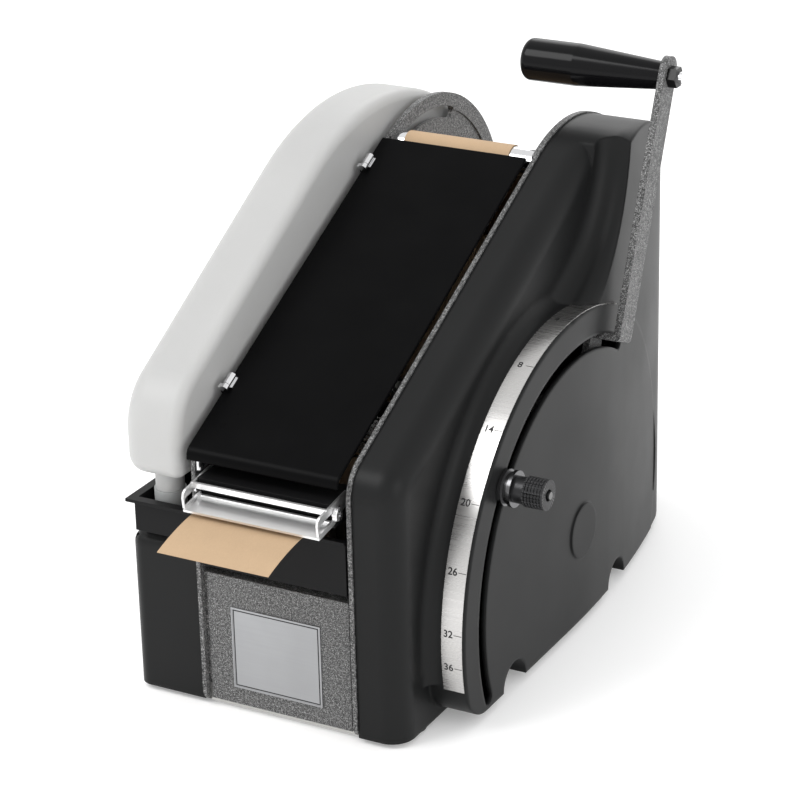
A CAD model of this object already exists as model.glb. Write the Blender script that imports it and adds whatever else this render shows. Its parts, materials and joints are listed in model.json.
"""Finishes, printed details and the studio for the gummed tape dispenser."""

import json
import math

import bmesh
import bpy
from mathutils import Matrix, Vector


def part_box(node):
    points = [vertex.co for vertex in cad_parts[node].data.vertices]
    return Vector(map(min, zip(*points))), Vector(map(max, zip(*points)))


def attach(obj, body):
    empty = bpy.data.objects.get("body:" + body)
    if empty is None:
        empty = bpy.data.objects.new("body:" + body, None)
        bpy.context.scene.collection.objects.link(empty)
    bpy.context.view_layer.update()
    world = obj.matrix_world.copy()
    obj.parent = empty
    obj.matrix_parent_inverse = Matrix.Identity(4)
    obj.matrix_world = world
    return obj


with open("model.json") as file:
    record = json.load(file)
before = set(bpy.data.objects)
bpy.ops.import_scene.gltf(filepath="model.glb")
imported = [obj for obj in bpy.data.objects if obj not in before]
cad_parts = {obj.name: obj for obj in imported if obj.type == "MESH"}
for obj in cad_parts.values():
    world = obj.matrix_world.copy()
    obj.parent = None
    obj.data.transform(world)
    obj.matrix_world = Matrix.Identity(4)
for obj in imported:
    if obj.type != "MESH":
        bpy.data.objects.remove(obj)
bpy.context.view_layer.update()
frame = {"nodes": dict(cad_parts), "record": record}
nodes = frame["nodes"]
MM = 0.001


# ---------------------------------------------------------------- shader values
class Value:
    """A shader socket. Arithmetic on it adds Math nodes to its tree."""

    def __init__(self, finish, socket):
        self.finish = finish
        self.socket = socket

    def math(self, operation, first, second=0.0):
        return self.finish.node("Math", {"operation": operation}, {0: first, 1: second})

    def __add__(self, other):
        return self.math("ADD", self, other)

    def __radd__(self, other):
        return self.math("ADD", other, self)

    def __sub__(self, other):
        return self.math("SUBTRACT", self, other)

    def __rsub__(self, other):
        return self.math("SUBTRACT", other, self)

    def __mul__(self, other):
        return self.math("MULTIPLY", self, other)

    def __rmul__(self, other):
        return self.math("MULTIPLY", other, self)

    def above(self, other):
        return self.math("GREATER_THAN", self, other)

    def sine(self):
        return self.math("SINE", self)

    def bearing(self, other):
        return self.math("ARCTAN2", self, other)

    def root(self):
        return self.math("SQRT", self)


def rgba(colour):
    """Four channels from three or from one grey. A shader value stays as it is."""
    if isinstance(colour, Value):
        return colour
    if isinstance(colour, float):
        colour = (colour,) * 3
    return (*colour, 1.0)


def darkened(colour, share):
    return tuple(part * share for part in colour)


class Finish:
    """One material, built on a Principled shader."""

    MIX_SHARE, MIX_FIRST, MIX_SECOND, MIX_RESULT = 0, 6, 7, 2     # a Mix node's colour sockets
    BEVEL_SAMPLES = 4

    def __init__(self, name, colour, roughness, metallic=0.0, **constants):
        self.material = bpy.data.materials.new(name)
        self.material.use_nodes = True
        self.tree = self.material.node_tree
        self.shader = self.tree.nodes["Principled BSDF"]
        self.shader.inputs["Metallic"].default_value = metallic
        for key, value in constants.items():
            self.shader.inputs[key.replace("_", " ")].default_value = value
        self.colour(colour)
        self.roughness(roughness)
        self.place = self.node("TexCoord", {}, {}, "Object")

    def node(self, kind, settings, sockets, output=0):
        """Adds a node. Its settings come first, then what feeds its sockets."""
        made = self.tree.nodes.new("ShaderNode" + kind)
        for key, value in settings.items():
            if key == "stops":
                self.set_stops(made.color_ramp, value)
            else:
                setattr(made, key, value)
        for key, value in sockets.items():
            self.feed(made.inputs[key], value)
        return Value(self, made.outputs[output])

    def feed(self, socket, value):
        if isinstance(value, Value):
            self.tree.links.new(value.socket, socket)
        else:
            socket.default_value = value

    @staticmethod
    def set_stops(ramp, stops):
        while len(ramp.elements) < len(stops):
            ramp.elements.new(0.5)
        for element, (position, colour) in zip(ramp.elements, stops):
            element.position = position
            element.color = rgba(colour)

    def colour(self, value):
        self.feed(self.shader.inputs["Base Color"], rgba(value))

    def roughness(self, value):
        self.feed(self.shader.inputs["Roughness"], value)

    def noise(self, scale, detail=2.0, place=None):
        sockets = {"Vector": place or self.place, "Scale": scale, "Detail": detail}
        return self.node("TexNoise", {}, sockets, "Fac")

    def ramp(self, value, *stops):
        return self.node("ValToRGB", {"stops": stops}, {"Fac": value}, "Color")

    def blend(self, share, first, second):
        sockets = {self.MIX_SHARE: share, self.MIX_FIRST: rgba(first), self.MIX_SECOND: rgba(second)}
        return self.node("Mix", {"data_type": "RGBA"}, sockets, self.MIX_RESULT)

    def stretched(self, x, y, z):
        """The object's own coordinates, stretched so that a pattern runs into streaks."""
        return self.node("Mapping", {}, {"Vector": self.place, "Scale": (x, y, z)}, "Vector")

    def axis(self, name):
        return self.node("SeparateXYZ", {}, {"Vector": self.place}, name)

    def bump(self, height, strength, depth, edge=0.0):
        """Relief of a depth in metres, over edges that look rounded by edge metres."""
        sockets = {"Height": height, "Strength": strength, "Distance": depth}
        if edge:
            settings = {"samples": self.BEVEL_SAMPLES}
            sockets["Normal"] = self.node("Bevel", settings, {"Radius": edge}, "Normal")
        self.feed(self.shader.inputs["Normal"], self.node("Bump", {}, sockets, "Normal"))


# ---------------------------------------------------------------- finishes
def hammertone():
    """Grey enamel that dries in small light and dark flecks."""
    fleck_share, patch_share = 0.72, 0.28
    flecks = ((0.36, 0.013), (0.46, 0.055), (0.54, 0.14), (0.64, 0.36))
    paint = Finish("hammertone_grey", (0.2, 0.2, 0.2), 0.45, 0.2, Specular_IOR_Level=0.35)
    fleck = paint.noise(1500.0, 3.0)
    patch = paint.noise(620.0, 2.0)
    paint.colour(paint.ramp(fleck * fleck_share + patch * patch_share, *flecks))
    paint.roughness(fleck * 0.35 + 0.3)
    paint.bump(fleck, 0.3, 0.3 * MM, 0.6 * MM)
    return paint


def moulded(name, colour, roughness, grain=0.12, level=0.5, edge=0.5 * MM):
    """Moulded plastic with a fine grain, slightly uneven gloss and softened edges."""
    gloss_change = 0.16
    plastic = Finish(name, colour, roughness, Specular_IOR_Level=level)
    cloudy = plastic.noise(18.0, 3.0)
    plastic.colour(plastic.blend(cloudy, darkened(colour, 0.8), colour))
    plastic.roughness(cloudy * gloss_change + (roughness - gloss_change / 2))
    plastic.bump(plastic.noise(2400.0, 2.0), grain, 0.1 * MM, edge)
    return plastic


def blown_bottle():
    """Milky blow-moulded polyethylene."""
    thin, thick = (0.42, 0.42, 0.416), (0.49, 0.49, 0.482)
    bottle = Finish("bottle_milky", (0.78, 0.78, 0.76), 0.42, Specular_IOR_Level=0.35,
                    Subsurface_Weight=0.25, Subsurface_Scale=10 * MM,
                    Subsurface_Radius=(1.0, 1.0, 0.9))
    cloudy = bottle.noise(9.0, 2.0)
    bottle.colour(bottle.blend(cloudy, thin, thick))
    bottle.roughness(cloudy * 0.15 + 0.36)
    bottle.bump(bottle.noise(240.0, 3.0), 0.10, 0.4 * MM)
    return bottle


def brushed(name, colour, roughness, along, streak=0.25):
    """Bare metal with fine rubbing marks along one axis."""
    across_marks, along_marks = 900.0, 12.0
    metal = Finish(name, colour, roughness, 1.0)
    stretch = [along_marks if axis == along else across_marks for axis in "xyz"]
    marks = metal.noise(1.0, 3.0, metal.stretched(*stretch))
    worn = metal.noise(24.0, 3.0)
    metal.colour(metal.blend(worn, darkened(colour, 0.82), colour))
    metal.roughness(marks * streak + (roughness - streak / 2))
    metal.bump(marks, 0.08, 0.08 * MM)
    return metal


def plated(name, colour, roughness):
    """Bright plating with faint clouding."""
    metal = Finish(name, colour, roughness, 1.0)
    haze = metal.noise(60.0, 3.0)
    metal.roughness(haze * 0.12 + (roughness - 0.05))
    metal.colour(metal.blend(haze, darkened(colour, 0.85), colour))
    return metal


def satin_black():
    """Black enamel on sheet steel."""
    deep, pale = (0.002, 0.002, 0.0022), (0.004, 0.004, 0.0042)
    enamel = Finish("cover_black", (0.003, 0.003, 0.0032), 0.3, Specular_IOR_Level=0.03)
    cloudy = enamel.noise(30.0, 4.0)
    enamel.roughness(cloudy * 0.12 + 0.24)
    enamel.colour(enamel.blend(cloudy, deep, pale))
    enamel.bump(enamel.noise(700.0, 2.0), 0.05, 0.2 * MM, 1.2 * MM)
    return enamel


def kraft(name, colour):
    """Brown paper with short fibres."""
    fibre_share, tone_share = 0.6, 0.4
    paper = Finish(name, colour, 0.75)
    fibre = paper.noise(1.0, 4.0, paper.stretched(1800.0, 500.0, 1800.0))
    tone = paper.noise(70.0, 3.0)
    light = tuple(min(1.0, part * 1.12) for part in colour)
    paper.colour(paper.blend(fibre * fibre_share + tone * tone_share, darkened(colour, 0.84), light))
    paper.bump(fibre, 0.12, 0.1 * MM)
    return paper


def wound_paper():
    """The side of a roll: edges of many turns."""
    turns_per_metre = 2600.0
    dark, light = (0.34, 0.23, 0.13), (0.62, 0.46, 0.29)
    low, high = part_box("tape_roll")
    paper = Finish("wound_paper", (0.5, 0.36, 0.22), 0.8)
    across = paper.axis("Y") - (low.y + high.y) / 2
    up = paper.axis("Z") - (low.z + high.z) / 2
    radius = (across * across + up * up).root()
    outwards = paper.node("CombineXYZ", {}, {0: radius * turns_per_metre}, "Vector")
    turns = paper.noise(1.0, 2.0, outwards)
    paper.colour(paper.ramp(turns, (0.3, dark), (0.7, light)))
    paper.bump(turns, 0.25, 0.4 * MM)
    return paper


def knurled(name, node, count, pitch):
    """Dark turned metal with crossed cuts round its barrel, past the plain neck."""
    neck_share = 0.36
    dark, worn = (0.018, 0.018, 0.019), (0.045, 0.045, 0.047)
    low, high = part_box(node)
    neck_end = low.x + (high.x - low.x) * neck_share
    metal = Finish(name, (0.05, 0.05, 0.052), 0.34, 0.7)
    up = metal.axis("Z") - (low.z + high.z) / 2
    around = up.bearing(metal.axis("Y") - (low.y + high.y) / 2)
    along = metal.axis("X")
    one_way = (around * count + along * pitch).sine()
    other_way = (around * count - along * pitch).sine()
    cut = one_way * other_way * along.above(neck_end)
    metal.roughness(metal.noise(300.0, 3.0) * 0.15 + 0.24)
    metal.colour(metal.blend(metal.noise(90.0, 3.0), dark, worn))
    metal.bump(cut, 0.6, 0.6 * MM)
    return metal


def rubber(name, colour=(0.02, 0.02, 0.021)):
    """Matt rubber or bristle with a little dust on it."""
    sheet = Finish(name, colour, 0.7)
    dust = sheet.noise(220.0, 4.0)
    dusty = tuple(part * 2.2 + 0.004 for part in colour)
    sheet.colour(sheet.blend(dust, colour, dusty))
    sheet.bump(dust, 0.15, 0.2 * MM)
    return sheet


def wood():
    """Varnished beech for the brush blocks."""
    dark, light = (0.26, 0.14, 0.065), (0.52, 0.34, 0.18)
    plank = Finish("beech", (0.45, 0.28, 0.14), 0.45)
    grain = plank.noise(1.0, 5.0, plank.stretched(14.0, 420.0, 420.0))
    plank.colour(plank.ramp(grain, (0.3, dark), (0.7, light)))
    plank.bump(grain, 0.2, 0.2 * MM)
    return plank


finishes = {
    "hammertone": hammertone(),
    "zinc_steel": brushed("zinc_steel", (0.55, 0.55, 0.53), 0.38, "x"),
    "sector_steel": brushed("sector_steel", (0.42, 0.42, 0.42), 0.42, "y"),
    "black_abs": moulded("black_abs", (0.0095, 0.0098, 0.010), 0.38, grain=0.14, level=0.15, edge=3 * MM),
    "tank_black": moulded("tank_black", (0.008, 0.008, 0.0085), 0.42, level=0.12),
    "bottle_white": blown_bottle(),
    "cap_grey": moulded("cap_grey", (0.42, 0.43, 0.43), 0.5),
    "cover_black": satin_black(),
    "chrome": plated("chrome", (0.80, 0.80, 0.81), 0.10),
    "polished_steel": brushed("polished_steel", (0.62, 0.61, 0.60), 0.28, "x", streak=0.2),
    "label_silver": brushed("label_silver", (0.40, 0.405, 0.415), 0.45, "x", streak=0.2),
    "rubber": rubber("rubber_black"),
    "grip_black": moulded("grip_black", (0.004, 0.004, 0.0045), 0.14, grain=0.02, level=0.14),
    "knob_black": moulded("knob_black", (0.014, 0.014, 0.015), 0.34, level=0.35),
    "kraft": kraft("kraft_paper", (0.48, 0.335, 0.205)),
    "core_board": kraft("core_board", (0.42, 0.36, 0.28)),
    "bronze": brushed("sintered_bronze", (0.46, 0.32, 0.15), 0.5, "x"),
    "gear_nylon": moulded("gear_nylon", (0.72, 0.70, 0.62), 0.45),
    "spring_steel": brushed("spring_steel", (0.30, 0.30, 0.31), 0.35, "x"),
    "brush_wood": wood(),
    "brush_fibre": rubber("bristle", (0.05, 0.042, 0.035)),
    "gland_black": moulded("gland_black", (0.015, 0.015, 0.016), 0.5),
}


def coat(piece, finish):
    piece.data.materials.clear()
    piece.data.materials.append(finish.material)


for part in frame["record"]["subparts"]:
    coat(nodes[part["node"]], finishes[part["material_slot"]])

# Nodes whose finish differs from that of the other nodes in their slot.
own_finishes = {
    "tape_roll": wound_paper(),
    "stop_knob": knurled("knurled_knob", "stop_knob", count=14.0, pitch=1500.0),
    "stop_collar": plated("dark_collar", (0.16, 0.16, 0.165), 0.2),
    "grip_nut": plated("black_nut", (0.03, 0.03, 0.03), 0.3),
    "stop_stud": plated("dark_stud", (0.2, 0.2, 0.2), 0.28),
    "pressure_plate": brushed("satin_plate", (0.90, 0.90, 0.90), 0.42, "x", streak=0.12),
}
for node, finish in own_finishes.items():
    coat(nodes[node], finish)


# ---------------------------------------------------------------- printed details
def put_in_scene(name, data):
    holder = bpy.data.objects.new(name, data)
    bpy.context.scene.collection.objects.link(holder)
    return holder


def mesh_of(name, shape):
    mesh = bpy.data.meshes.new(name)
    shape.to_mesh(mesh)
    shape.free()
    return mesh


def add_print(name, shape):
    """Puts a printed detail on the frame, in the black of the small mouldings."""
    bmesh.ops.recalc_face_normals(shape, faces=shape.faces)
    piece = put_in_scene(name, mesh_of(name, shape))
    coat(piece, finishes["knob_black"])
    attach(piece, "frame")


BORDER_INSET = 1.4 * MM
BORDER_WIDTH = 0.7 * MM
BORDER_THICKNESS = 0.12 * MM
BORDER_DEPTH = 0.2 * MM         # behind the plate's foremost face


def label_border():
    """The thin dark line printed round the bare data plate."""
    low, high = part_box("data_plate")
    wide = high.x - low.x - 2 * BORDER_INSET
    tall = high.z - low.z - 2 * BORDER_INSET
    shape = bmesh.new()
    bmesh.ops.create_grid(shape, x_segments=1, y_segments=1, size=0.5)
    bmesh.ops.scale(shape, vec=(wide, tall, 1.0), verts=shape.verts)
    bmesh.ops.inset_region(shape, faces=shape.faces[:], thickness=BORDER_WIDTH, use_boundary=True,
                           use_even_offset=True)
    middle = min(shape.faces, key=lambda face: face.calc_center_median().length)
    bmesh.ops.delete(shape, geom=[middle], context="FACES_ONLY")
    bmesh.ops.solidify(shape, geom=shape.faces[:], thickness=BORDER_THICKNESS)
    upright = Matrix.Rotation(math.radians(90), 4, "X")
    centre = ((low.x + high.x) / 2, low.y + BORDER_DEPTH, (low.z + high.z) / 2)
    bmesh.ops.transform(shape, matrix=Matrix.Translation(centre) @ upright, verts=shape.verts)
    add_print("label_border", shape)


# Each number and its angle round the lever's pivot, in degrees from straight back.
SCALE_MARKS = {"4": 93, "8": 112, "14": 130, "20": 147, "26": 162, "32": 176, "36": 184}
NUMBER_SIZE = 6.4 * MM
NUMBER_WEIGHT = 0.12 * MM
NUMBER_MIDDLE = 4.6 * MM        # from the scale's inner edge
TICK_START = 8.4 * MM
TICK_END = 0.4 * MM             # short of the scale's outer edge
TICK_WIDTH = 0.4 * MM
PRINT_THICKNESS = 0.08 * MM
MERGE_DISTANCE = 0.001 * MM


def on_scale(angle, x):
    """Frame on the length scale: X across it, Y up its curve, Z outwards."""
    low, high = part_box("length_scale")
    joints = frame["record"]["behaviour"]["joints"]
    pivot = next(joint for joint in joints if joint["name"] == "lever_swing")
    centre = Vector(pivot["pos_m"])
    radius = centre.y - low.y
    turn = math.radians(angle)
    outward = Vector((0, math.cos(turn), math.sin(turn)))
    up = Vector((0, math.sin(turn), -math.cos(turn)))
    spot = Vector((x, centre.y, centre.z)) + outward * radius
    return Matrix(((1, up.x, outward.x, spot.x), (0, up.y, outward.y, spot.y),
                   (0, up.z, outward.z, spot.z), (0, 0, 0, 1)))


def number_mesh(text, place):
    curve = bpy.data.curves.new("number_" + text, "FONT")
    curve.body = text
    curve.size = NUMBER_SIZE
    curve.extrude = PRINT_THICKNESS / 2
    curve.offset = NUMBER_WEIGHT
    curve.align_x = "CENTER"
    curve.align_y = "CENTER"
    holder = bpy.data.objects.new("number_" + text, curve)
    mesh = bpy.data.meshes.new_from_object(holder)
    bpy.data.objects.remove(holder)
    mesh.transform(place)
    return mesh


def scale_print():
    """Numbers and their ticks on the length scale."""
    low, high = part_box("length_scale")
    start, end = low.x + TICK_START, high.x - TICK_END
    tick = Matrix.Diagonal((end - start, TICK_WIDTH, PRINT_THICKNESS, 1.0))
    shape = bmesh.new()
    for text, angle in SCALE_MARKS.items():
        mesh = number_mesh(text, on_scale(angle, low.x + NUMBER_MIDDLE))
        shape.from_mesh(mesh)
        bpy.data.meshes.remove(mesh)
        bmesh.ops.create_cube(shape, size=1.0, matrix=on_scale(angle, (start + end) / 2) @ tick)
    bmesh.ops.remove_doubles(shape, verts=shape.verts, dist=MERGE_DISTANCE)
    add_print("scale_print", shape)


label_border()
scale_print()


# ---------------------------------------------------------------- studio
FLOOR_HALF_WIDTH = 8.0
FLOOR_GLOW = 0.22
WALL_STRENGTH = 1.15
WALL_SHADES = ((0.3, 1.0), (0.8, 0.85))     # height up the walls, and brightness
# name, place, height it aims at, width, watts
LIGHTS = (
    ("key_light", (-1.2, -1.4, 2.2), 0.15, 1.3, 30.0),
    ("side_light", (2.0, -0.6, 1.1), 0.2, 1.2, 8.0),
    ("rear_light", (-0.4, 2.0, 1.6), 0.2, 1.4, 9.0),
)


def soft_light(name, place, aim_height, width, power):
    lamp = bpy.data.lights.new(name, "AREA")
    lamp.energy = power
    lamp.size = width
    holder = put_in_scene(name, lamp)
    holder.location = place
    aim = Vector((0, 0, aim_height)) - Vector(place)
    holder.rotation_euler = aim.to_track_quat("-Z", "Y").to_euler()


def studio_floor():
    """A pale sheet that the dispenser stands on."""
    shape = bmesh.new()
    bmesh.ops.create_grid(shape, x_segments=1, y_segments=1, size=FLOOR_HALF_WIDTH)
    floor = put_in_scene("studio_floor", mesh_of("studio_floor", shape))
    paper = Finish("studio_paper", (0.88, 0.88, 0.88), 0.9, Emission_Color=(1.0, 1.0, 1.0, 1.0),
                   Emission_Strength=FLOOR_GLOW)
    coat(floor, paper)


def studio_world():
    """White walls under a slightly darker ceiling."""
    world = bpy.data.worlds.new("studio_world")
    world.use_nodes = True
    tree = world.node_tree
    backdrop = tree.nodes["Background"]
    place = tree.nodes.new("ShaderNodeTexCoord")
    split = tree.nodes.new("ShaderNodeSeparateXYZ")
    shade = tree.nodes.new("ShaderNodeValToRGB")
    Finish.set_stops(shade.color_ramp, WALL_SHADES)
    tree.links.new(place.outputs["Generated"], split.inputs[0])
    tree.links.new(split.outputs["Z"], shade.inputs["Fac"])
    tree.links.new(shade.outputs["Color"], backdrop.inputs["Color"])
    backdrop.inputs["Strength"].default_value = WALL_STRENGTH
    bpy.context.scene.world = world
    bpy.context.scene.view_settings.view_transform = "Standard"


CAMERA_AZIMUTH = 29.0           # degrees, from the front towards the lever side
CAMERA_ELEVATION = 22.79
CAMERA_ROLL = -1.43
CAMERA_DISTANCE = 1.7921
CAMERA_TARGET = (0.0245, -0.0943, 0.1922)
CAMERA_LENS = 132.79
CAMERA_REACH = 30.0
SENSOR = 36.0


def studio_camera():
    lens = bpy.data.cameras.new("studio_camera")
    lens.sensor_width = SENSOR
    lens.sensor_height = SENSOR
    lens.lens = CAMERA_LENS
    lens.clip_end = CAMERA_REACH
    camera = put_in_scene("studio_camera", lens)
    turn = (Matrix.Rotation(math.radians(CAMERA_AZIMUTH), 4, "Z")
            @ Matrix.Rotation(math.radians(90 - CAMERA_ELEVATION), 4, "X")
            @ Matrix.Rotation(math.radians(CAMERA_ROLL), 4, "Z"))
    back = turn.to_3x3() @ Vector((0, 0, 1))
    camera.matrix_world = Matrix.Translation(Vector(CAMERA_TARGET) + back * CAMERA_DISTANCE) @ turn
    bpy.context.scene.camera = camera


studio_floor()
studio_world()
studio_camera()
for light in LIGHTS:
    soft_light(*light)
